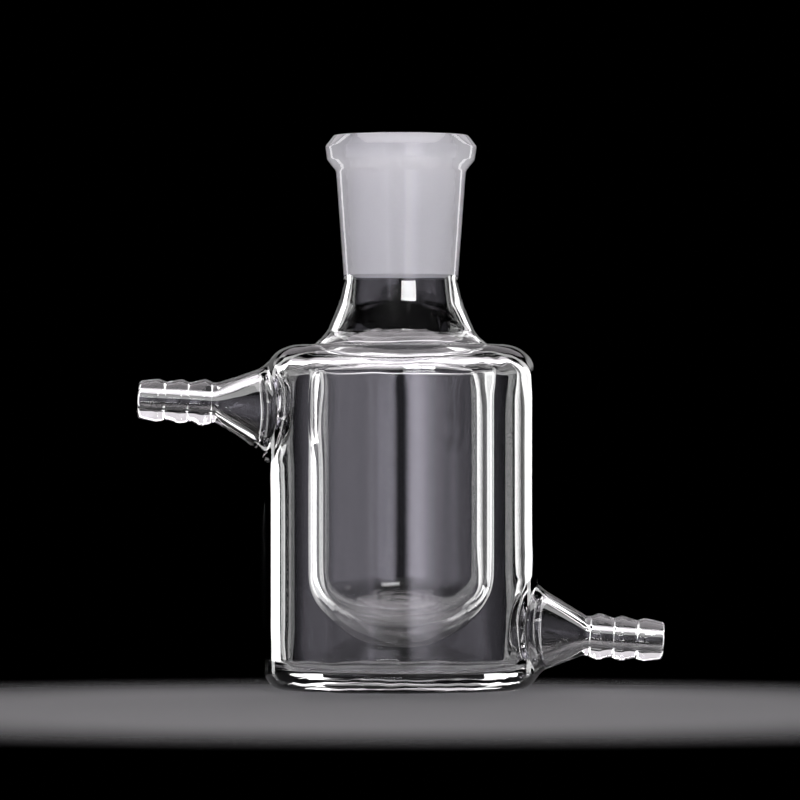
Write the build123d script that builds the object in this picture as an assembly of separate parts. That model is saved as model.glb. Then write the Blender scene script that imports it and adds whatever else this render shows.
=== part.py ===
from build123d import *
import math
import os

# Jacketed glass reactor, blown and fused into one piece from clear borosilicate tube.
# The vessel's axis is Z and it stands on z = 0. Lengths are in millimetres.

# Inner vessel, which hangs from the shoulder
vessel_diameter = 39.6
vessel_wall = 2.4
dome_rise = 15.0
dome_thickness = 3.1
dome_clearance = 5.2
vessel_root_rounding = 1.2

# Outer jacket around it
water_gap = 5.6
jacket_wall = 3.6
base_thickness = 4.2
base_outer_rounding = 4.0
base_inner_rounding = 2.4
shoulder_height = 73.2
shoulder_thickness = 4.0
shoulder_outer_rounding = 7.0
shoulder_inner_rounding = 3.0

# Neck between the shoulder and the ground socket, which flares at two bends. Each
# bend's share says how much of the flare from waist to foot lies above it
neck_height = 13.4
neck_wall = 2.1
neck_foot_inset = 1.2
neck_foot_rounding = 1.0
upper_bend_drop = 4.8
upper_bend_share = 0.16
upper_bend_curve = 18.0
lower_bend_rise = 2.2
lower_bend_share = 0.59
lower_bend_curve = 7.0
neck_root_curve = 8.0
waist_wall = 1.5
waist_rounding = 2.0

# Ground socket, standard taper 24/29: the bore narrows 1 mm on every 10 mm
socket_bore = 24.0
socket_length = 29.0
socket_taper = 0.1
socket_foot_length = 1.3
socket_top_wall = 1.75
socket_top_rounding = 1.5
mouth_chamfer = 0.6

# Thick rolled bead round the mouth
rim_crest_wall = 2.2
rim_crest_rounding = 0.5
bead_wall = 4.05
bead_drop = 2.4
bead_rounding = 0.8
bead_lower_wall = 3.65
bead_length = 2.8
bead_lower_rounding = 0.9
bead_neck_drop = 2.4

# Flares of the two hose nozzles, welded to the jacket
flare_wall_radius = 9.2
flare_end_radius = 4.35
flare_length = 9.9
flare_wall = 2.5
weld_rounding = 3.0
port_rounding = 1.2
nozzle_bore = 3.3
throat_length = 1.05

# Barbed tails for the hoses
barb_count = 3
barb_pitch = 4.9
barb_ramp = 1.7
ridge_radius = 5.1
ridge_step = 0.22
ridge_rounding = 1.2
valley_radius = 4.3
valley_step = 0.12
tip_length = 1.05
tip_radius = 3.95
tip_rounding = 0.7

# Places of the nozzles: how far each flare's foot stands from the shoulder or the
# base, and how far the flare and the tail then rise
upper_margin = 4.7
upper_flare_rise = 1.5
upper_tail_rise = 0.8
lower_margin = 3.7
lower_flare_rise = -1.4
lower_tail_rise = -1.2

# Values that follow from the sizes above
vessel_radius = vessel_diameter / 2
vessel_inner_radius = vessel_radius - vessel_wall
jacket_inner_radius = vessel_radius + water_gap
jacket_radius = jacket_inner_radius + jacket_wall
shoulder_underside = shoulder_height - shoulder_thickness
dome_bottom = base_thickness + dome_clearance
rim_height = dome_bottom + dome_rise
bore_radius = socket_bore / 2
bore_foot_radius = bore_radius - socket_taper * socket_length / 2
waist_radius = bore_foot_radius + waist_wall
waist_height = shoulder_height + neck_height
bore_foot_height = waist_height + socket_foot_length
bore_top_height = bore_foot_height + socket_length
total_height = bore_top_height + mouth_chamfer
neck_foot_radius = vessel_radius - neck_foot_inset
neck_flare = neck_foot_radius - waist_radius
upper_bend_radius = waist_radius + upper_bend_share * neck_flare
upper_bend_height = waist_height - upper_bend_drop
lower_bend_radius = waist_radius + lower_bend_share * neck_flare
lower_bend_height = shoulder_height + lower_bend_rise
shoulder_width = jacket_radius - neck_foot_radius
barb_length = barb_count * barb_pitch + tip_length
flare_spread = (flare_wall_radius - flare_end_radius) / flare_length
upper_wall_height = shoulder_height - upper_margin - flare_wall_radius
lower_wall_height = lower_margin + flare_wall_radius


def turned(outline):
    """Solid of revolution about Z from a closed outline of radii and heights."""
    return revolve(make_face(Plane.YZ * outline), Axis.Z, 360)


def rounded_outline(corners):
    """Closed outline through corners, each a radius, a height and a rounding."""
    places = [(radius, height) for radius, height, rounding in corners]
    roundings = [rounding for radius, height, rounding in corners]
    path = FilletPolyline(*places, radius=roundings[1:-1])
    return path + Line(places[-1], places[0])


def dome(radius, rise):
    """Round bottom of a tube, a quarter of an ellipse from the axis to its rim."""
    return EllipticalCenterArc((0, rim_height), radius, rise, -90, arc_size=90)


def envelope():
    """The outer form of jacket, neck and socket, filled in."""
    corner = min(shoulder_outer_rounding, 0.85 * shoulder_width)
    bead_height = total_height - bead_drop
    bead_foot_height = bead_height - bead_length
    socket_top_height = bead_foot_height - bead_neck_drop
    corners = [
        (0, 0, 0),
        (jacket_radius, 0, base_outer_rounding),
        (jacket_radius, shoulder_height, corner),
        (neck_foot_radius, shoulder_height, neck_foot_rounding),
        (lower_bend_radius, lower_bend_height, lower_bend_curve),
        (upper_bend_radius, upper_bend_height, upper_bend_curve),
        (waist_radius, waist_height, waist_rounding),
        (bore_radius + socket_top_wall, socket_top_height, socket_top_rounding),
        (bore_radius + bead_lower_wall, bead_foot_height, bead_lower_rounding),
        (bore_radius + bead_wall, bead_height, bead_rounding),
        (bore_radius + rim_crest_wall, total_height, rim_crest_rounding),
        (0, total_height, 0),
    ]
    return turned(rounded_outline(corners))


def vessel_space():
    """The room inside the inner vessel, the neck and the ground socket."""
    bottom = dome_bottom + dome_thickness
    round_bottom = dome(vessel_inner_radius, rim_height - bottom)
    mouth = (bore_radius + mouth_chamfer, total_height)
    side = FilletPolyline(
        (vessel_inner_radius, rim_height),
        (vessel_inner_radius, shoulder_underside + vessel_root_rounding),
        (lower_bend_radius - neck_wall, lower_bend_height),
        (upper_bend_radius - neck_wall, upper_bend_height),
        (bore_foot_radius, waist_height),
        (bore_foot_radius, bore_foot_height),
        (bore_radius, bore_top_height),
        mouth,
        radius=[
            neck_root_curve,
            lower_bend_curve,
            upper_bend_curve,
            waist_rounding,
            0,
            0,
        ],
    )
    lid = Polyline(mouth, (0, total_height), (0, bottom))
    return turned(round_bottom + side + lid)


def jacket_space():
    """The room for the water between the inner vessel and the jacket."""
    round_bottom = dome(vessel_radius, dome_rise)
    outer_corner = min(shoulder_inner_rounding, 0.6 * water_gap)
    root_corner = min(vessel_root_rounding, 0.3 * water_gap)
    side = FilletPolyline(
        (0, base_thickness),
        (jacket_inner_radius, base_thickness),
        (jacket_inner_radius, shoulder_underside),
        (vessel_radius, shoulder_underside),
        (vessel_radius, rim_height),
        radius=[base_inner_rounding, outer_corner, root_corner],
    )
    axis_line = Line((0, dome_bottom), (0, base_thickness))
    return turned(round_bottom + side + axis_line)


def barb():
    """A barbed tail along +X from its first valley, with a root sunk in the flare."""
    corners = [
        (-throat_length, 0, 0),
        (-throat_length, flare_end_radius, 0),
    ]
    for number in range(barb_count):
        start = number * barb_pitch
        valley = valley_radius - number * valley_step
        ridge = ridge_radius - number * ridge_step
        corners.append((start, valley, 0))
        corners.append((start + barb_ramp, ridge, ridge_rounding))
    corners.append((barb_length, tip_radius, tip_rounding))
    corners.append((barb_length, 0, 0))
    return revolve(make_face(Plane.XZ * rounded_outline(corners)), Axis.X, 360)


class Nozzle:
    """A nozzle on the side +1 or -1, with its foot at a height on the jacket."""

    def __init__(self, side, foot_height, flare_rise, tail_rise):
        self.side = side
        self.foot_height = foot_height
        self.end_height = foot_height + flare_rise
        self.tilt = math.atan2(tail_rise, throat_length + barb_length)

    def at(self, reach, height, tilt=0.0):
        """Plane that faces outwards, at a reach from the axis and a height."""
        outwards = (self.side * math.cos(tilt), 0, math.sin(tilt))
        upwards = (-self.side * math.sin(tilt), 0, math.cos(tilt))
        return Plane(
            origin=(self.side * reach, 0, height), x_dir=upwards, z_dir=outwards
        )

    def end(self, distance=0.0):
        """Plane on the tail's axis, at a distance out from the flare's end."""
        reach = jacket_radius + flare_length + distance * math.cos(self.tilt)
        height = self.end_height + distance * math.sin(self.tilt)
        return self.at(reach, height, self.tilt)

    def outer_form(self):
        """Flare and tail, filled in, with the flare's foot sunk in the wall."""
        sink = jacket_wall
        slope = (self.end_height - self.foot_height) / flare_length
        foot = self.at(jacket_inner_radius, self.foot_height - sink * slope)
        foot_radius = flare_wall_radius + sink * flare_spread
        flare = loft(
            [foot * Circle(foot_radius), self.end() * Circle(flare_end_radius)],
            ruled=True,
        )
        first_valley = self.end(throat_length)
        place = Plane(
            origin=first_valley.origin,
            x_dir=first_valley.z_dir,
            z_dir=first_valley.x_dir,
        )
        return flare + place * barb()

    def channel(self):
        """The way for the water through the wall, the flare and the tail."""
        port_radius = flare_wall_radius - flare_wall
        inside = jacket_inner_radius - water_gap / 2
        port_start = self.at(inside, self.foot_height)
        port = extrude(port_start * Circle(port_radius), jacket_radius - inside)
        port_mouth = self.at(jacket_radius, self.foot_height)
        funnel = loft(
            [port_mouth * Circle(port_radius), self.end() * Circle(nozzle_bore / 2)],
            ruled=True,
        )
        overlap = 0.5
        bore_length = overlap + throat_length + barb_length + overlap
        bore = extrude(self.end(-overlap) * Circle(nozzle_bore / 2), bore_length)
        return port + funnel + bore


def joined(trunk, branches, rounding):
    """The trunk with each branch fused on and its seam rounded."""
    for branch in branches:
        fused = trunk + branch
        seam = new_edges(trunk, branch, combined=fused)
        trunk = fillet(seam, rounding)
    return trunk


def reactor():
    """The whole reactor, one piece of glass."""
    nozzles = [
        Nozzle(-1, upper_wall_height, upper_flare_rise, upper_tail_rise),
        Nozzle(1, lower_wall_height, lower_flare_rise, lower_tail_rise),
    ]
    outer_forms = [nozzle.outer_form() for nozzle in nozzles]
    channels = [nozzle.channel() for nozzle in nozzles]
    outside = joined(envelope(), outer_forms, weld_rounding)
    water = joined(jacket_space(), channels, port_rounding)
    return outside - water - vessel_space()


os.makedirs("parts", exist_ok=True)
export_step(reactor(), "parts/jacketed_vessel.step")
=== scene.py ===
import bisect
import cmath
import math

import bmesh
import bpy
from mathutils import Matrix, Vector, noise


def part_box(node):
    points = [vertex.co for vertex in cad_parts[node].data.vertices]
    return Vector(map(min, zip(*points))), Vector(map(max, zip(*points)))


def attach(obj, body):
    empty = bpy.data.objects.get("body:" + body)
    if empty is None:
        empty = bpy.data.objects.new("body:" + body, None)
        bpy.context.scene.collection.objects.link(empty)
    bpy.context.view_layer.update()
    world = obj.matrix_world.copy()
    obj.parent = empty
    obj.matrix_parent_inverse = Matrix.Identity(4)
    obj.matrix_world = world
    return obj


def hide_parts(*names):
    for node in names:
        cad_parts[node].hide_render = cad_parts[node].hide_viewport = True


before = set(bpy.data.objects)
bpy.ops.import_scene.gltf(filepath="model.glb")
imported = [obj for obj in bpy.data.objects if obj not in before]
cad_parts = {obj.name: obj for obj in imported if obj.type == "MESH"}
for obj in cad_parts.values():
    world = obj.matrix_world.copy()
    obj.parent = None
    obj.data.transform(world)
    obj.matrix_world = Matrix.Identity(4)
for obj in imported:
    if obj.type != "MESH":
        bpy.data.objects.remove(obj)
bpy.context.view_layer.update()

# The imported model's box and node, in metres
node = "jacketed_vessel"
body = "root"
node_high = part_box(node)[1]
mm = 0.001

# The reactor is one closed mesh. Two walls are turned about Z: the skin, which runs from
# the base over the mouth down to the vessel's round bottom, and the wall of the water's
# room. Each hose nozzle is a tube that is blended into both. All sizes of the glass are
# in millimetres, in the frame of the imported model.

# Jacket
total_height = node_high.z / mm
jacket_radius = node_high.y / mm
jacket_wall = 3.6
jacket_inner_radius = jacket_radius - jacket_wall
base_thickness = 4.2
base_outer_rounding = 4.0
base_inner_rounding = 2.4
base_hollow = 0.4
base_hollow_radius = 20.0
base_hollow_curve = 60.0
shoulder_height = 73.2
shoulder_outer_rounding = 7.0
ceiling_height = 69.2
shoulder_inner_rounding = 3.0

# Inner vessel
vessel_radius = 19.8
vessel_wall = 2.4
vessel_inner_radius = vessel_radius - vessel_wall
vessel_root_rounding = 1.2
dome_bottom = 9.4
dome_rise = 15.0
dome_thickness = 3.1
rim_height = dome_bottom + dome_rise

# Neck
neck_foot_radius = 18.6
neck_foot_rounding = 1.0
lower_bend_radius = 16.1
lower_bend_height = 75.4
lower_bend_curve = 7.0
upper_bend_radius = 13.3
upper_bend_height = 81.8
upper_bend_curve = 18.0
throat_radius = 11.0
throat_height = 82.0
throat_curve = 8.0
root_radius = 13.7
root_height = 75.0
root_curve = 1.5
root_corner_height = 70.8
root_corner_curve = 3.0
waist_radius = 12.05
waist_height = 86.6
waist_rounding = 2.0

# Ground socket and its bead
bore_radius = 12.0
bore_foot_radius = 10.55
bore_foot_height = 87.9
bore_top_height = 116.9
mouth_chamfer = total_height - bore_top_height
socket_top_wall = 1.75
socket_top_rounding = 1.5
bead_lower_wall = 3.65
bead_lower_rounding = 0.9
bead_wall = 4.05
bead_rounding = 0.8
rim_crest_wall = 2.2
rim_crest_rounding = 0.5
bead_drop = 2.4
bead_length = 2.8
bead_neck_drop = 2.4
bead_height = total_height - bead_drop
bead_foot_height = bead_height - bead_length
socket_top_height = bead_foot_height - bead_neck_drop
edge_rounding = 0.35

# Nozzles: the flare, the water's way through it and the barbed tail
flare_wall_radius = 9.2
flare_end_radius = 4.35
flare_length = 9.9
flare_end_rounding = 2.5
port_radius = 7.9
funnel_radius = 6.4
funnel_start = 0.5
funnel_rounding = 6.0
funnel_end_rounding = 4.0
bore_half = 1.65
throat_length = 1.05
barb_count = 3
barb_pitch = 4.9
barb_ramp = 1.7
ridge_radius = 5.1
ridge_step = 0.22
ridge_rounding = 1.2
valley_radius = 4.3
valley_step = 0.12
valley_rounding = 0.5
tip_length = 1.05
tip_radius = 3.95
tip_rounding = 0.9
tip_inner_rounding = 0.5
tail_length = throat_length + barb_count * barb_pitch + tip_length

# Places of the nozzles: the upper one is on -X, the lower one on +X
upper_foot_height = 59.3
upper_flare_rise = 1.5
upper_tail_rise = 0.8
lower_foot_height = 12.9
lower_flare_rise = -1.4
lower_tail_rise = -1.2

# How far the nozzles' sections reach in from the jacket's outside, where along them
# the seams with the skin and the water's wall are sought, and how far the blends reach
# out from the seams
section_sink = jacket_wall + 2.0
weld_search = section_sink + 4.0
port_search = section_sink + 2.0
weld_reach = 2.3
port_reach = 1.2
bridge_pull = 0.6

# How far the rectangles left open for the nozzles reach before and after the rounded
# corners beside them, along the skin and along the water's wall
lower_skin_margins = (-0.1, 24.5)
upper_skin_margins = (21.0, 7.6)
lower_water_margins = (2.5, 18.0)
upper_water_margins = (19.0, 1.0)

# Unevenness of the glass: how deep on plain tube and where it was worked, and how long.
# The second wave is shorter by a factor, and a share as high
plain_depth = 0.002
worked_depth = 0.10
wave_length = 7.0
second_wave_factor = 2.3
second_wave_share = 0.5
mean_depth = 1.2

# Where the glass was worked: from where the work begins to where it is full, as heights,
# distances from the axis, from a weld's middle, or out along X. The ground socket is even
base_work = (14.0, 5.0)
shoulder_work = (60.0, 67.0)
neck_work = (86.0, 79.0)
dome_height_work = (30.0, 22.0)
dome_radius_work = (24.0, 20.0)
weld_work = (20.0, 11.0)
tail_work = (29.0, 33.0)
below_socket = (bore_foot_height + 1.0, bore_foot_height - 3.0)
dome_share = 0.4
weld_share = 0.5
tail_share = 0.3

# The vessel's waves are shifted against the jacket's, from this distance off the axis in
vessel_waves_radius = 22
vessel_waves_shift = Vector((31, 17, 5))

# Refractive index of borosilicate glass
glass_index = 1.474

# Fineness of the mesh
columns = 192
disc_rows = 8
patch_columns = 30
patch_rows = 30
patch_rings = 8
bridge_rings = 7
row_length = 2.4
row_turn = math.radians(9)
arc_turn = math.radians(2)
patch_gap = 0.2
probe = 0.1
halvings = 40


def mixed(start, end, share):
    """A value or place between two others, at a share of the way."""
    return start * (1 - share) + end * share


def ramp(value, start, end):
    """A soft step from 0 at the start to 1 at the end."""
    share = min(max((value - start) / (end - start), 0.0), 1.0)
    return share * share * (3 - 2 * share)


def eased(share):
    """A share of the way that runs ahead at first, so that rings lie closer at the end."""
    lead = 0.6
    return share * (1 + lead - lead * share)


def bridge(first, last, leaving, coming, share):
    """A place on a smooth curve that leaves the first place and comes to the last."""
    rest = 1 - share
    return (
        first * rest**3
        + (first + leaving) * (3 * share * rest**2)
        + (last - coming) * (3 * share**2 * rest)
        + last * share**3
    )


def rounded(corners):
    """Points of a line through corners, each a radius, a height and a rounding."""
    places = [complex(radius, height) for radius, height, rounding in corners]
    points = [places[0]]
    for number in range(1, len(places) - 1):
        corner = places[number]
        rounding = corners[number][2]
        inwards = corner - places[number - 1]
        outwards = places[number + 1] - corner
        turn = cmath.phase(outwards / inwards)
        reach = rounding * math.tan(abs(turn) / 2)
        start = corner - reach * inwards / abs(inwards)
        side = 1j if turn > 0 else -1j
        centre = start + side * rounding * inwards / abs(inwards)
        steps = max(2, math.ceil(abs(turn) / arc_turn))
        for step in range(steps + 1):
            points.append(centre + (start - centre) * cmath.exp(1j * turn * step / steps))
    points.append(places[-1])
    return points


def dome(bottom, radius):
    """Points of a round bottom, a quarter of an ellipse from its rim to the axis."""
    rise = rim_height - bottom
    steps = math.ceil(math.pi / 2 / arc_turn)
    angles = [math.pi / 2 * step / steps for step in range(steps + 1)]
    return [
        complex(radius * math.cos(angle), bottom + rise * (1 - math.sin(angle)))
        for angle in angles
    ]


class Line:
    """A line of points, measured by marks along its length and by the rows of faces
    that it needs up to each mark."""

    def __init__(self, points):
        self.points = points
        self.marks = [0.0]
        self.needs = [0.0]
        heading = None
        for before, after in zip(points, points[1:]):
            run = after - before
            turn = 0.0 if heading is None else abs(cmath.phase(run / heading))
            self.needs[-1] += turn / row_turn
            heading = run
            self.marks.append(self.marks[-1] + abs(run))
            self.needs.append(self.needs[-1] + abs(run) / row_length)
        self.length = self.marks[-1]

    @staticmethod
    def read(scale, value, values):
        """Where a value lies on a rising scale, read off from the values beside it."""
        number = min(max(bisect.bisect_right(scale, value), 1), len(scale) - 1)
        start, end = scale[number - 1], scale[number]
        share = 0.5 if end == start else (value - start) / (end - start)
        return mixed(values[number - 1], values[number], share)

    def at(self, mark):
        """The point at a mark."""
        return self.read(self.marks, min(max(mark, 0.0), self.length), self.points)

    def spread(self, start, end, count=None):
        """Marks from start to end, closer together where the line turns."""
        first = self.read(self.marks, start, self.needs)
        last = self.read(self.marks, end, self.needs)
        count = count or max(1, math.ceil(last - first))
        inner = [
            self.read(self.needs, first + (last - first) * number / count, self.marks)
            for number in range(1, count)
        ]
        return [start, *inner, end]

    def mark_near(self, radius, height):
        """The mark of the line's point nearest to a place."""
        place = complex(radius, height)
        number = min(range(len(self.points)), key=lambda n: abs(self.points[n] - place))
        return self.marks[number]


class Mesh:
    """Vertices and faces of the glass, gathered in millimetres."""

    def __init__(self):
        self.places = []
        self.faces = []
        self.ground = []

    def vertex(self, place):
        self.places.append(place)
        return len(self.places) - 1

    def face(self, *corners, ground=False):
        self.faces.append(corners)
        self.ground.append(ground)

    def band(self, ring, other):
        """Faces between two closed rings of as many vertices."""
        count = len(ring)
        for number in range(count):
            after = (number + 1) % count
            self.face(ring[number], ring[after], other[after], other[number])


class Wall:
    """A surface of revolution about Z, with a rectangle left open for each nozzle.

    The span holds the marks between which the line only rises, past all the openings.
    Unrolled, a spot on the wall is a complex number: the length round the jacket and
    the mark along the line.
    """

    def __init__(self, mesh, line, span, openings, ground=()):
        self.mesh = mesh
        self.line = line
        self.span = span
        self.radius = line.at(sum(span) / 2).real
        self.ground = ground
        self.vertices = {}
        self.marks = [0.0]
        self.holes = {}
        count = disc_rows
        for nozzle, (low, high) in openings.items():
            self.extend(low, count)
            first = len(self.marks) - 1
            self.extend(high, patch_rows)
            self.holes[nozzle] = first, first + patch_rows
            count = None
        for stop in (*ground, line.length):
            self.extend(stop)
        self.fill()

    def extend(self, stop, count=None):
        """Add rows up to a mark, closer together where the line turns."""
        self.marks += self.line.spread(self.marks[-1], stop, count)[1:]

    def mark_at_height(self, height):
        """The mark in the span where the line passes a height."""
        low, high = self.span
        for _ in range(halvings):
            middle = (low + high) / 2
            if self.line.at(middle).imag < height:
                low = middle
            else:
                high = middle
        return (low + high) / 2

    def place(self, angle, mark):
        point = self.line.at(mark)
        return Vector((point.real * math.cos(angle), point.real * math.sin(angle), point.imag))

    def rolled(self, spot):
        """The place of a spot of the unrolled wall."""
        return self.place(spot.real / self.radius, spot.imag)

    def vertex(self, row, column):
        if row in (0, len(self.marks) - 1):
            column = 0
        key = row, column % columns
        if key not in self.vertices:
            place = self.place(math.tau * column / columns, self.marks[row])
            self.vertices[key] = self.mesh.vertex(place)
        return self.vertices[key]

    def is_open(self, row, column):
        """Whether a face lies in the rectangle of a nozzle."""
        half = patch_columns // 2
        return any(
            low <= row < high and (column - nozzle.column + half) % columns < patch_columns
            for nozzle, (low, high) in self.holes.items()
        )

    def fill(self):
        """All faces outside the nozzles' rectangles."""
        for row in range(len(self.marks) - 1):
            middle = (self.marks[row] + self.marks[row + 1]) / 2
            frosted = bool(self.ground) and self.ground[0] < middle < self.ground[1]
            for column in range(columns):
                if self.is_open(row, column):
                    continue
                corners = [
                    self.vertex(row, column),
                    self.vertex(row, column + 1),
                    self.vertex(row + 1, column + 1),
                    self.vertex(row + 1, column),
                ]
                self.mesh.face(*dict.fromkeys(corners), ground=frosted)

    def edge(self, nozzle):
        """Vertices and spots round a nozzle's rectangle, from its upper middle on
        towards +angle. The spots count from the nozzle's own column."""
        low, high = self.holes[nozzle]
        half = patch_columns // 2
        turns = [(high, step) for step in range(half)]
        turns += [(row, half) for row in range(high, low, -1)]
        turns += [(low, step) for step in range(half, -half, -1)]
        turns += [(row, -half) for row in range(low, high)]
        turns += [(high, step) for step in range(-half, 0)]
        vertices = [self.vertex(row, nozzle.column + step) for row, step in turns]
        pitch = math.tau * self.radius / columns
        spots = [complex(pitch * step, self.marks[row]) for row, step in turns]
        return vertices, spots


class Nozzle:
    """A hose nozzle on the side +1 or -1, as rings round a bent line of centres."""

    def __init__(self, side, foot_height, flare_rise, tail_rise):
        self.side = side
        self.column = 0 if side > 0 else columns // 2
        self.foot_height = foot_height
        self.rise = flare_rise
        self.tilt = math.atan2(tail_rise, tail_length)
        self.weld = Vector((side * jacket_radius, 0, foot_height))
        self.line = Line(self.section())

    def section(self):
        """The nozzle's section as distances out from the wall and radii: out along
        the outside, round the tip and back along the water's way."""
        slope = (flare_wall_radius - flare_end_radius) / flare_length
        tip = flare_length + tail_length
        corners = [
            (-section_sink, flare_wall_radius + slope * section_sink, 0),
            (flare_length, flare_end_radius, flare_end_rounding),
        ]
        for number in range(barb_count):
            start = flare_length + throat_length + number * barb_pitch
            valley = valley_radius - number * valley_step
            ridge = ridge_radius - number * ridge_step
            corners.append((start, valley, valley_rounding))
            corners.append((start + barb_ramp, ridge, ridge_rounding))
        corners += [
            (tip, tip_radius, tip_rounding),
            (tip, bore_half, tip_inner_rounding),
            (flare_length, bore_half, funnel_end_rounding),
            (funnel_start, funnel_radius, funnel_rounding),
            (-section_sink, port_radius, 0),
        ]
        return rounded(corners)

    def place(self, mark, theta):
        """A place round the nozzle at a mark of its section, as if it were on +X."""
        point = self.line.at(mark)
        out, radius = point.real, point.imag
        share = min(max(out / flare_length, 0.0), 1.0)
        lean = self.tilt * share
        reach = jacket_radius + min(out, flare_length)
        height = self.foot_height + self.rise * share
        if out > flare_length:
            reach += (out - flare_length) * math.cos(lean)
            height += (out - flare_length) * math.sin(lean)
        up = radius * math.cos(theta)
        across = radius * math.sin(theta)
        return Vector((reach - up * math.sin(lean), across, height + up * math.cos(lean)))

    def vertex(self, mesh, place):
        """A vertex of the mesh, turned to the nozzle's own side."""
        return mesh.vertex(Vector((self.side * place.x, self.side * place.y, place.z)))

    def meeting(self, wall, theta, near, far):
        """Where the nozzle leaves a wall, between a mark of its section that is inside
        the wall and one that is outside: the mark, and the spot on the wall."""
        for _ in range(halvings):
            middle = (near + far) / 2
            place = self.place(middle, theta)
            mark = wall.mark_at_height(place.z)
            if math.hypot(place.x, place.y) < wall.line.at(mark).real:
                near = middle
            else:
                far = middle
        return middle, complex(wall.radius * math.atan2(place.y, place.x), mark)

    def thetas(self, wall):
        """The angle round the nozzle of each vertex of its rectangle in a wall, half
        way between its true angle and an even share of the turn."""
        foot = wall.mark_at_height(self.foot_height)
        spots = wall.edge(self)[1]
        angles = []
        for number, spot in enumerate(spots):
            even = math.tau * number / len(spots)
            true = math.atan2(spot.real, spot.imag - foot) % math.tau
            angles.append((even + true) / 2)
        return angles

    def blend(self, wall, thetas, near, far, reach):
        """Rings from the wall's rectangle to the nozzle's own surface. They follow the
        wall up to a reach from the seam, and then a smooth bridge. Gives the last ring
        and the mark of each of its vertices."""
        vertices, spots = wall.edge(self)
        foot = complex(0, wall.mark_at_height(self.foot_height))
        onto = 1 if far > near else -1
        rows = []
        marks = []
        for theta, spot in zip(thetas, spots):
            seam_mark, seam = self.meeting(wall, theta, near, far)
            away = (seam - foot) / abs(seam - foot)
            start = seam + reach * away
            end = seam_mark + onto * reach
            first = wall.rolled(start)
            last = self.place(end, theta)
            leaving = wall.rolled(start - probe * away) - wall.rolled(start + probe * away)
            coming = self.place(end + probe * onto, theta) - self.place(end - probe * onto, theta)
            leaving = leaving.normalized() * bridge_pull * reach
            coming = coming.normalized() * bridge_pull * reach
            row = []
            for ring in range(1, patch_rings):
                share = eased(ring / patch_rings)
                row.append(wall.rolled(mixed(spot, start, share)))
            for ring in range(bridge_rings + 1):
                row.append(bridge(first, last, leaving, coming, ring / bridge_rings))
            rows.append(row)
            marks.append(end)
        previous = vertices
        for places in zip(*rows):
            ring = [self.vertex(wall.mesh, place) for place in places]
            wall.mesh.band(previous, ring)
            previous = ring
        return previous, marks

    def build(self, skin, water):
        """The nozzle's faces, from the skin out round the tip to the water's wall."""
        mesh = skin.mesh
        length = self.line.length
        outer_thetas = self.thetas(skin)
        inner_thetas = self.thetas(water)
        outer, outer_marks = self.blend(skin, outer_thetas, 0.0, weld_search, weld_reach)
        inner, inner_marks = self.blend(
            water, inner_thetas, length, length - port_search, port_reach
        )
        first = max(outer_marks) + patch_gap
        last = min(inner_marks) - patch_gap
        previous = outer
        for mark in self.line.spread(first, last):
            share = (mark - first) / (last - first)
            ring = [
                self.vertex(mesh, self.place(mark, mixed(start, end, share)))
                for start, end in zip(outer_thetas, inner_thetas)
            ]
            mesh.band(previous, ring)
            previous = ring
        mesh.band(previous, inner)


def skin_line():
    """The outside from the base's middle to the mouth, then the inside to the dome."""
    round_bottom = dome(dome_bottom + dome_thickness, vessel_inner_radius)
    corners = [
        (0, base_hollow, 0),
        (base_hollow_radius, 0, base_hollow_curve),
        (jacket_radius, 0, base_outer_rounding),
        (jacket_radius, shoulder_height, shoulder_outer_rounding),
        (neck_foot_radius, shoulder_height, neck_foot_rounding),
        (lower_bend_radius, lower_bend_height, lower_bend_curve),
        (upper_bend_radius, upper_bend_height, upper_bend_curve),
        (waist_radius, waist_height, waist_rounding),
        (bore_radius + socket_top_wall, socket_top_height, socket_top_rounding),
        (bore_radius + bead_lower_wall, bead_foot_height, bead_lower_rounding),
        (bore_radius + bead_wall, bead_height, bead_rounding),
        (bore_radius + rim_crest_wall, total_height, rim_crest_rounding),
        (bore_radius + mouth_chamfer, total_height, edge_rounding),
        (bore_radius, bore_top_height, edge_rounding),
        (bore_foot_radius, bore_foot_height, edge_rounding),
        (bore_foot_radius, waist_height, waist_rounding),
        (throat_radius, throat_height, throat_curve),
        (root_radius, root_height, root_curve),
        (vessel_inner_radius, root_corner_height, root_corner_curve),
        (vessel_inner_radius, rim_height, 0),
    ]
    return Line(rounded(corners) + round_bottom[1:])


def water_line():
    """The wall of the water's room, from the floor's middle round to the dome's."""
    round_bottom = dome(dome_bottom, vessel_radius)
    corners = [
        (0, base_thickness, 0),
        (jacket_inner_radius, base_thickness, base_inner_rounding),
        (jacket_inner_radius, ceiling_height, shoulder_inner_rounding),
        (vessel_radius, ceiling_height, vessel_root_rounding),
        (vessel_radius, rim_height, 0),
    ]
    return Line(rounded(corners) + round_bottom[1:])


def stretched(start, end, margins):
    """A stretch of a line, longer by a margin before its start and after its end."""
    return start - margins[0], end + margins[1]


def skin_wall(mesh, lower, upper):
    """The skin, with its ground bore, open for the two nozzles."""
    line = skin_line()
    corner_start = line.mark_near(jacket_radius - base_outer_rounding, 0)
    corner_end = line.mark_near(jacket_radius, base_outer_rounding)
    shoulder_start = line.mark_near(jacket_radius, shoulder_height - shoulder_outer_rounding)
    shoulder_end = line.mark_near(jacket_radius - shoulder_outer_rounding, shoulder_height)
    ground_top = line.mark_near(bore_radius, bore_top_height)
    ground_foot = line.mark_near(bore_foot_radius, bore_foot_height)
    openings = {
        lower: stretched(corner_start, corner_end, lower_skin_margins),
        upper: stretched(shoulder_start, shoulder_start, upper_skin_margins),
    }
    span = (corner_start, shoulder_end)
    return Wall(mesh, line, span, openings, (ground_top, ground_foot))


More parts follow.
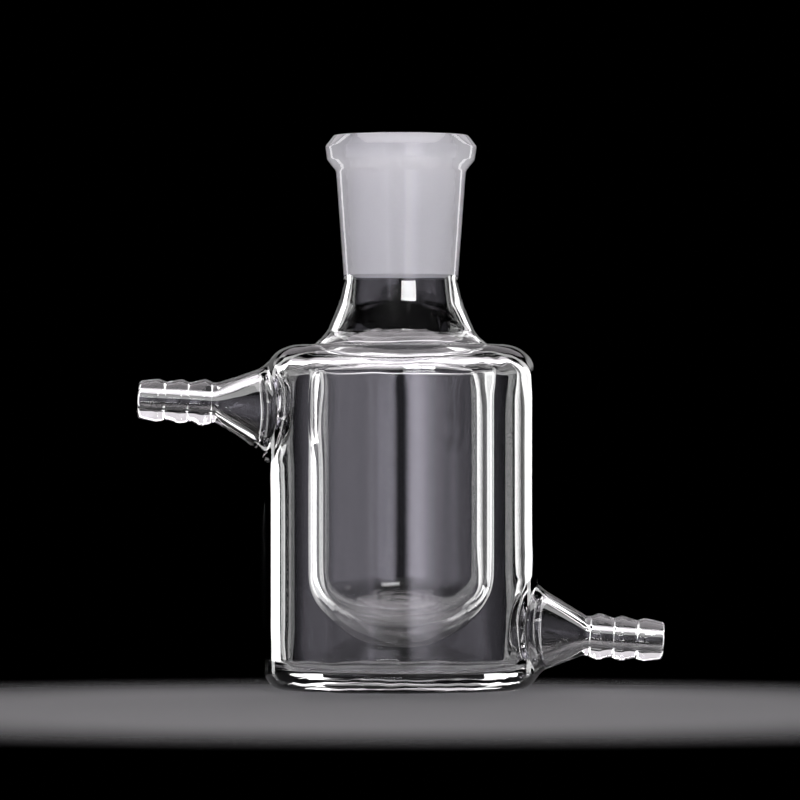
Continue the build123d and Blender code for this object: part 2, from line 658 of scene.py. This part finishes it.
def water_wall(mesh, lower, upper):
    """The wall of the water's room, open for the two nozzles."""
    line = water_line()
    floor_start = line.mark_near(jacket_inner_radius - base_inner_rounding, base_thickness)
    floor_end = line.mark_near(jacket_inner_radius, base_thickness + base_inner_rounding)
    ceiling_start = line.mark_near(jacket_inner_radius, ceiling_height - shoulder_inner_rounding)
    ceiling_end = line.mark_near(jacket_inner_radius - shoulder_inner_rounding, ceiling_height)
    openings = {
        lower: stretched(floor_start, floor_end, lower_water_margins),
        upper: stretched(ceiling_start, ceiling_end, upper_water_margins),
    }
    return Wall(mesh, line, (floor_start, ceiling_end), openings)


def hand_work(place, welds):
    """How deep the flame and the hand have left the glass uneven at a place."""
    from_axis = math.hypot(place.x, place.y)
    base = ramp(place.z, *base_work)
    shoulder = ramp(place.z, *shoulder_work) * ramp(place.z, *neck_work)
    round_bottom = ramp(place.z, *dome_height_work) * ramp(from_axis, *dome_radius_work)
    welded = max(ramp((place - weld).length, *weld_work) for weld in welds)
    tail = ramp(abs(place.x), *tail_work)
    worked = max(
        base,
        shoulder,
        dome_share * round_bottom,
        weld_share * welded,
        tail_share * tail,
    )
    depth = plain_depth + worked_depth * worked
    shift = vessel_waves_shift if from_axis <= vessel_waves_radius else Vector((0, 0, 0))
    spot = place / wave_length
    wave = noise.noise(spot + shift)
    wave += second_wave_share * noise.noise(spot * second_wave_factor + shift * 2)
    return ramp(place.z, *below_socket) * depth * (mean_depth + wave)


def glass_object():
    """The whole reactor, with its ground bore as the second material's faces."""
    gathered = Mesh()
    upper = Nozzle(-1, upper_foot_height, upper_flare_rise, upper_tail_rise)
    lower = Nozzle(1, lower_foot_height, lower_flare_rise, lower_tail_rise)
    skin = skin_wall(gathered, lower, upper)
    water = water_wall(gathered, lower, upper)
    for nozzle in (upper, lower):
        nozzle.build(skin, water)
    mesh = bpy.data.meshes.new("glass")
    mesh.from_pydata(gathered.places, [], gathered.faces)
    work = bmesh.new()
    work.from_mesh(mesh)
    bmesh.ops.recalc_face_normals(work, faces=work.faces)
    work.normal_update()
    welds = (upper.weld, lower.weld)
    moves = [vertex.normal * hand_work(vertex.co, welds) for vertex in work.verts]
    for vertex, move in zip(work.verts, moves):
        vertex.co = (vertex.co - move) * mm
    work.to_mesh(mesh)
    work.free()
    mesh.polygons.foreach_set("use_smooth", [True] * len(mesh.polygons))
    mesh.polygons.foreach_set("material_index", [int(ground) for ground in gathered.ground])
    mesh.materials.append(clear_glass())
    mesh.materials.append(ground_glass())
    piece = bpy.data.objects.new("glass_reactor", mesh)
    bpy.context.scene.collection.objects.link(piece)
    return piece


def principled(name):
    material = bpy.data.materials.new(name)
    material.use_nodes = True
    return material, material.node_tree, material.node_tree.nodes["Principled BSDF"]


def bumped(tree, shader, scale, detail, height):
    """Let noise on the piece, stretched or even, raise and sink the surface a little.
    The scale is in waves to the metre along X, Y and Z, and the height is in metres."""
    place = tree.nodes.new("ShaderNodeTexCoord")
    stretch = tree.nodes.new("ShaderNodeVectorMath")
    stretch.operation = "MULTIPLY"
    stretch.inputs[1].default_value = scale
    waves = tree.nodes.new("ShaderNodeTexNoise")
    waves.inputs["Scale"].default_value = 1.0
    waves.inputs["Detail"].default_value = detail
    bump = tree.nodes.new("ShaderNodeBump")
    bump.inputs["Strength"].default_value = 1.0
    bump.inputs["Distance"].default_value = height
    tree.links.new(place.outputs["Object"], stretch.inputs[0])
    tree.links.new(stretch.outputs["Vector"], waves.inputs["Vector"])
    tree.links.new(waves.outputs["Fac"], bump.inputs["Height"])
    tree.links.new(bump.outputs["Normal"], shader.inputs["Normal"])
    return waves


def clear_glass():
    """Borosilicate glass with the faint lengthwise draw lines of its tube."""
    material, tree, shader = principled("clear_borosilicate")
    shader.inputs["Base Color"].default_value = (1, 1, 1, 1)
    shader.inputs["Roughness"].default_value = 0.0
    shader.inputs["IOR"].default_value = glass_index
    shader.inputs["Transmission Weight"].default_value = 1.0
    bumped(tree, shader, (260, 260, 22), detail=1.0, height=0.000004)
    return material


def ground_glass():
    """The same glass where the socket's bore is ground: white, with a fine grain."""
    material, tree, shader = principled("ground_borosilicate")
    shader.inputs["Base Color"].default_value = (0.95, 0.95, 0.97, 1)
    shader.inputs["IOR"].default_value = glass_index
    shader.inputs["Transmission Weight"].default_value = 0.25
    grain = bumped(tree, shader, (900, 900, 900), detail=3.0, height=0.00004)
    rough = tree.nodes.new("ShaderNodeMapRange")
    rough.inputs["To Min"].default_value = 0.5
    rough.inputs["To Max"].default_value = 0.7
    tree.links.new(grain.outputs["Fac"], rough.inputs["Value"])
    tree.links.new(rough.outputs["Result"], shader.inputs["Roughness"])
    return material


def painted_light_falloff(tree, shader, middle, inner, outer):
    """Painted light falloff: let a surface fade out into the dark world between two distances
    from a middle, in metres, as a pool of light would.
    """
    place = tree.nodes.new("ShaderNodeTexCoord")
    shift = tree.nodes.new("ShaderNodeVectorMath")
    shift.operation = "SUBTRACT"
    shift.inputs[1].default_value = middle
    distance = tree.nodes.new("ShaderNodeVectorMath")
    distance.operation = "LENGTH"
    fade = tree.nodes.new("ShaderNodeMapRange")
    fade.interpolation_type = "SMOOTHSTEP"
    fade.inputs["From Min"].default_value = inner
    fade.inputs["From Max"].default_value = outer
    fade.inputs["To Min"].default_value = 1.0
    fade.inputs["To Max"].default_value = 0.0
    tree.links.new(place.outputs["Object"], shift.inputs[0])
    tree.links.new(shift.outputs["Vector"], distance.inputs[0])
    tree.links.new(distance.outputs["Value"], fade.inputs["Value"])
    tree.links.new(fade.outputs["Result"], shader.inputs["Alpha"])


def floor_object():
    """A pale round floor that fades out round the reactor: a painted pool of light whose edge
    falls off into the dark world.
    """
    steps = 128
    radius = 0.19
    middle = Vector((0, -0.10, 0))
    height = -0.0001
    angles = [math.tau * step / steps for step in range(steps)]
    rim = [
        (middle.x + radius * math.cos(angle), middle.y + radius * math.sin(angle), height)
        for angle in angles
    ]
    mesh = bpy.data.meshes.new("floor")
    mesh.from_pydata(rim, [], [tuple(range(steps))])
    material, tree, shader = principled("pale_floor")
    shader.inputs["Base Color"].default_value = (0.40, 0.40, 0.41, 1)
    shader.inputs["Roughness"].default_value = 0.6
    # Painted light: the floor's alpha fades it into the black world, standing in for light that
    # falls off away from the reactor
    painted_light_falloff(tree, shader, middle, 0.4 * radius, radius)
    mesh.materials.append(material)
    piece = bpy.data.objects.new("floor", mesh)
    bpy.context.scene.collection.objects.link(piece)


def camera_object():
    """The photograph's view: from the front, a little below the middle."""
    distance = 1.4
    height = 0.050
    aim = Vector((-0.0002, 0, 0.0614))
    seen_width = 0.1695
    data = bpy.data.cameras.new("camera")
    data.sensor_width = 36
    data.lens = data.sensor_width * distance / seen_width
    camera = bpy.data.objects.new("camera", data)
    camera.location = (0, -distance, height)
    camera.rotation_mode = "QUATERNION"
    camera.rotation_quaternion = (camera.location - aim).to_track_quat("Z", "Y")
    bpy.context.scene.collection.objects.link(camera)
    bpy.context.scene.camera = camera


def dark_world():
    world = bpy.data.worlds.new("dark")
    world.use_nodes = True
    world.node_tree.nodes["Background"].inputs["Color"].default_value = (0.0, 0.0, 0.0, 1)
    bpy.context.scene.world = world


# Colours of the lights
white = (1.0, 1.0, 1.0)
pink = (1.0, 0.95, 1.0)
lilac = (0.90, 0.86, 1.0)

# By which rays a light is seen: reflected ones, those through the glass, or the floor's
mirrored = ("glossy",)
through = ("transmission",)
both = mirrored + through
on_floor = ("diffuse",)


def panel(name, place, size, radiance, seen, tint=white, fade=None):
    """A soft light. Its place is an azimuth, an elevation and a distance: azimuth 0 lies
    straight behind the glass and grows to the right, and the camera is at 180."""
    azimuth, elevation, distance = place
    width, height = size
    data = bpy.data.lights.new(name, "AREA")
    data.shape = "RECTANGLE"
    data.size = width
    data.size_y = height
    data.color = tint
    data.energy = radiance * math.pi * width * height
    if fade:
        fade_out(data, *fade)
    turn, lift = math.radians(azimuth), math.radians(elevation)
    direction = Vector(
        (math.sin(turn) * math.cos(lift), math.cos(turn) * math.cos(lift), math.sin(lift))
    )
    light = bpy.data.objects.new(name, data)
    light.location = Vector((0, 0, 0.06)) + direction * distance
    light.rotation_mode = "QUATERNION"
    light.rotation_quaternion = direction.to_track_quat("Z", "Y")
    light.visible_camera = False
    light.visible_glossy = "glossy" in seen
    light.visible_transmission = "transmission" in seen
    light.visible_diffuse = "diffuse" in seen
    bpy.context.scene.collection.objects.link(light)


def fade_out(data, first, second):
    """Let a light fade towards its two sides, over these shares of its width."""
    data.use_nodes = True
    tree = data.node_tree
    spot = tree.nodes.new("ShaderNodeNewGeometry")
    across = tree.nodes.new("ShaderNodeSeparateXYZ")
    product = tree.nodes.new("ShaderNodeMath")
    product.operation = "MULTIPLY"
    tree.links.new(spot.outputs["Parametric"], across.inputs[0])
    for number, (dark, lit) in enumerate([(0.0, first), (1.0, 1.0 - second)]):
        step = tree.nodes.new("ShaderNodeMapRange")
        step.interpolation_type = "SMOOTHSTEP"
        step.inputs["From Min"].default_value = dark
        step.inputs["From Max"].default_value = lit
        tree.links.new(across.outputs["X"], step.inputs["Value"])
        tree.links.new(step.outputs["Result"], product.inputs[number])
    tree.links.new(product.outputs["Value"], tree.nodes["Emission"].inputs["Strength"])


def lights():
    # Tall panels behind, seen through the walls' edges, and two for the outer rims
    panel("back_left_outer", (-29.5, 4, 0.90), (0.140, 1.8), 1.2, through)
    panel("back_left", (-39.5, 4, 0.90), (0.174, 1.8), 2.4, through)
    panel("back_right", (26.5, 4, 0.90), (0.140, 1.8), 1.9, through)
    panel("back_right_outer", (35.5, 4, 0.90), (0.140, 1.8), 1.3, through)
    panel("rim_left", (-43, 4, 0.95), (0.120, 1.8), 3.2, mirrored)
    panel("rim_right", (43, 4, 0.95), (0.120, 1.8), 3.2, mirrored)

    # Upright bands of soft light in the front and at the sides, which the walls mirror
    panel("strip_right", (158, 0, 1.0), (0.70, 1.2), 2.3, both, lilac, (0.25, 0.72))
    panel("strip_left", (-159, 0, 1.0), (0.34, 1.2), 0.55, both, lilac, (0.3, 0.68))
    panel("side_left", (-118, 0, 1.0), (1.8, 1.2), 0.72, both, lilac, (0.25, 0.12))
    panel("side_right", (118, 0, 1.0), (1.8, 1.2), 0.32, both, lilac, (0.12, 0.25))
    panel("room", (180, 0, 1.6), (1.2, 1.2), 0.08, both, lilac)

    # Light from above, which whitens the socket, and a low glow behind
    panel("overhead", (0, 86, 0.70), (0.9, 0.8), 3.2, both, pink)
    panel("sky_back", (0, 42, 0.90), (1.0, 0.6), 0.8, both, pink)
    panel("sky_low", (0, 14, 0.90), (1.3, 0.19), 0.35, both)

    # The small bright window on neck and dome, and the floor's own light
    panel("window", (164, 29.5, 0.90), (0.42, 0.16), 22.0, both)
    panel("soft_front", (180, 40, 1.3), (1.6, 1.0), 0.6, on_floor)


glass = glass_object()
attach(glass, body)
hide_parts(node)
floor_object()
camera_object()
dark_world()
lights()

bpy.context.scene.view_settings.view_transform = "Standard"
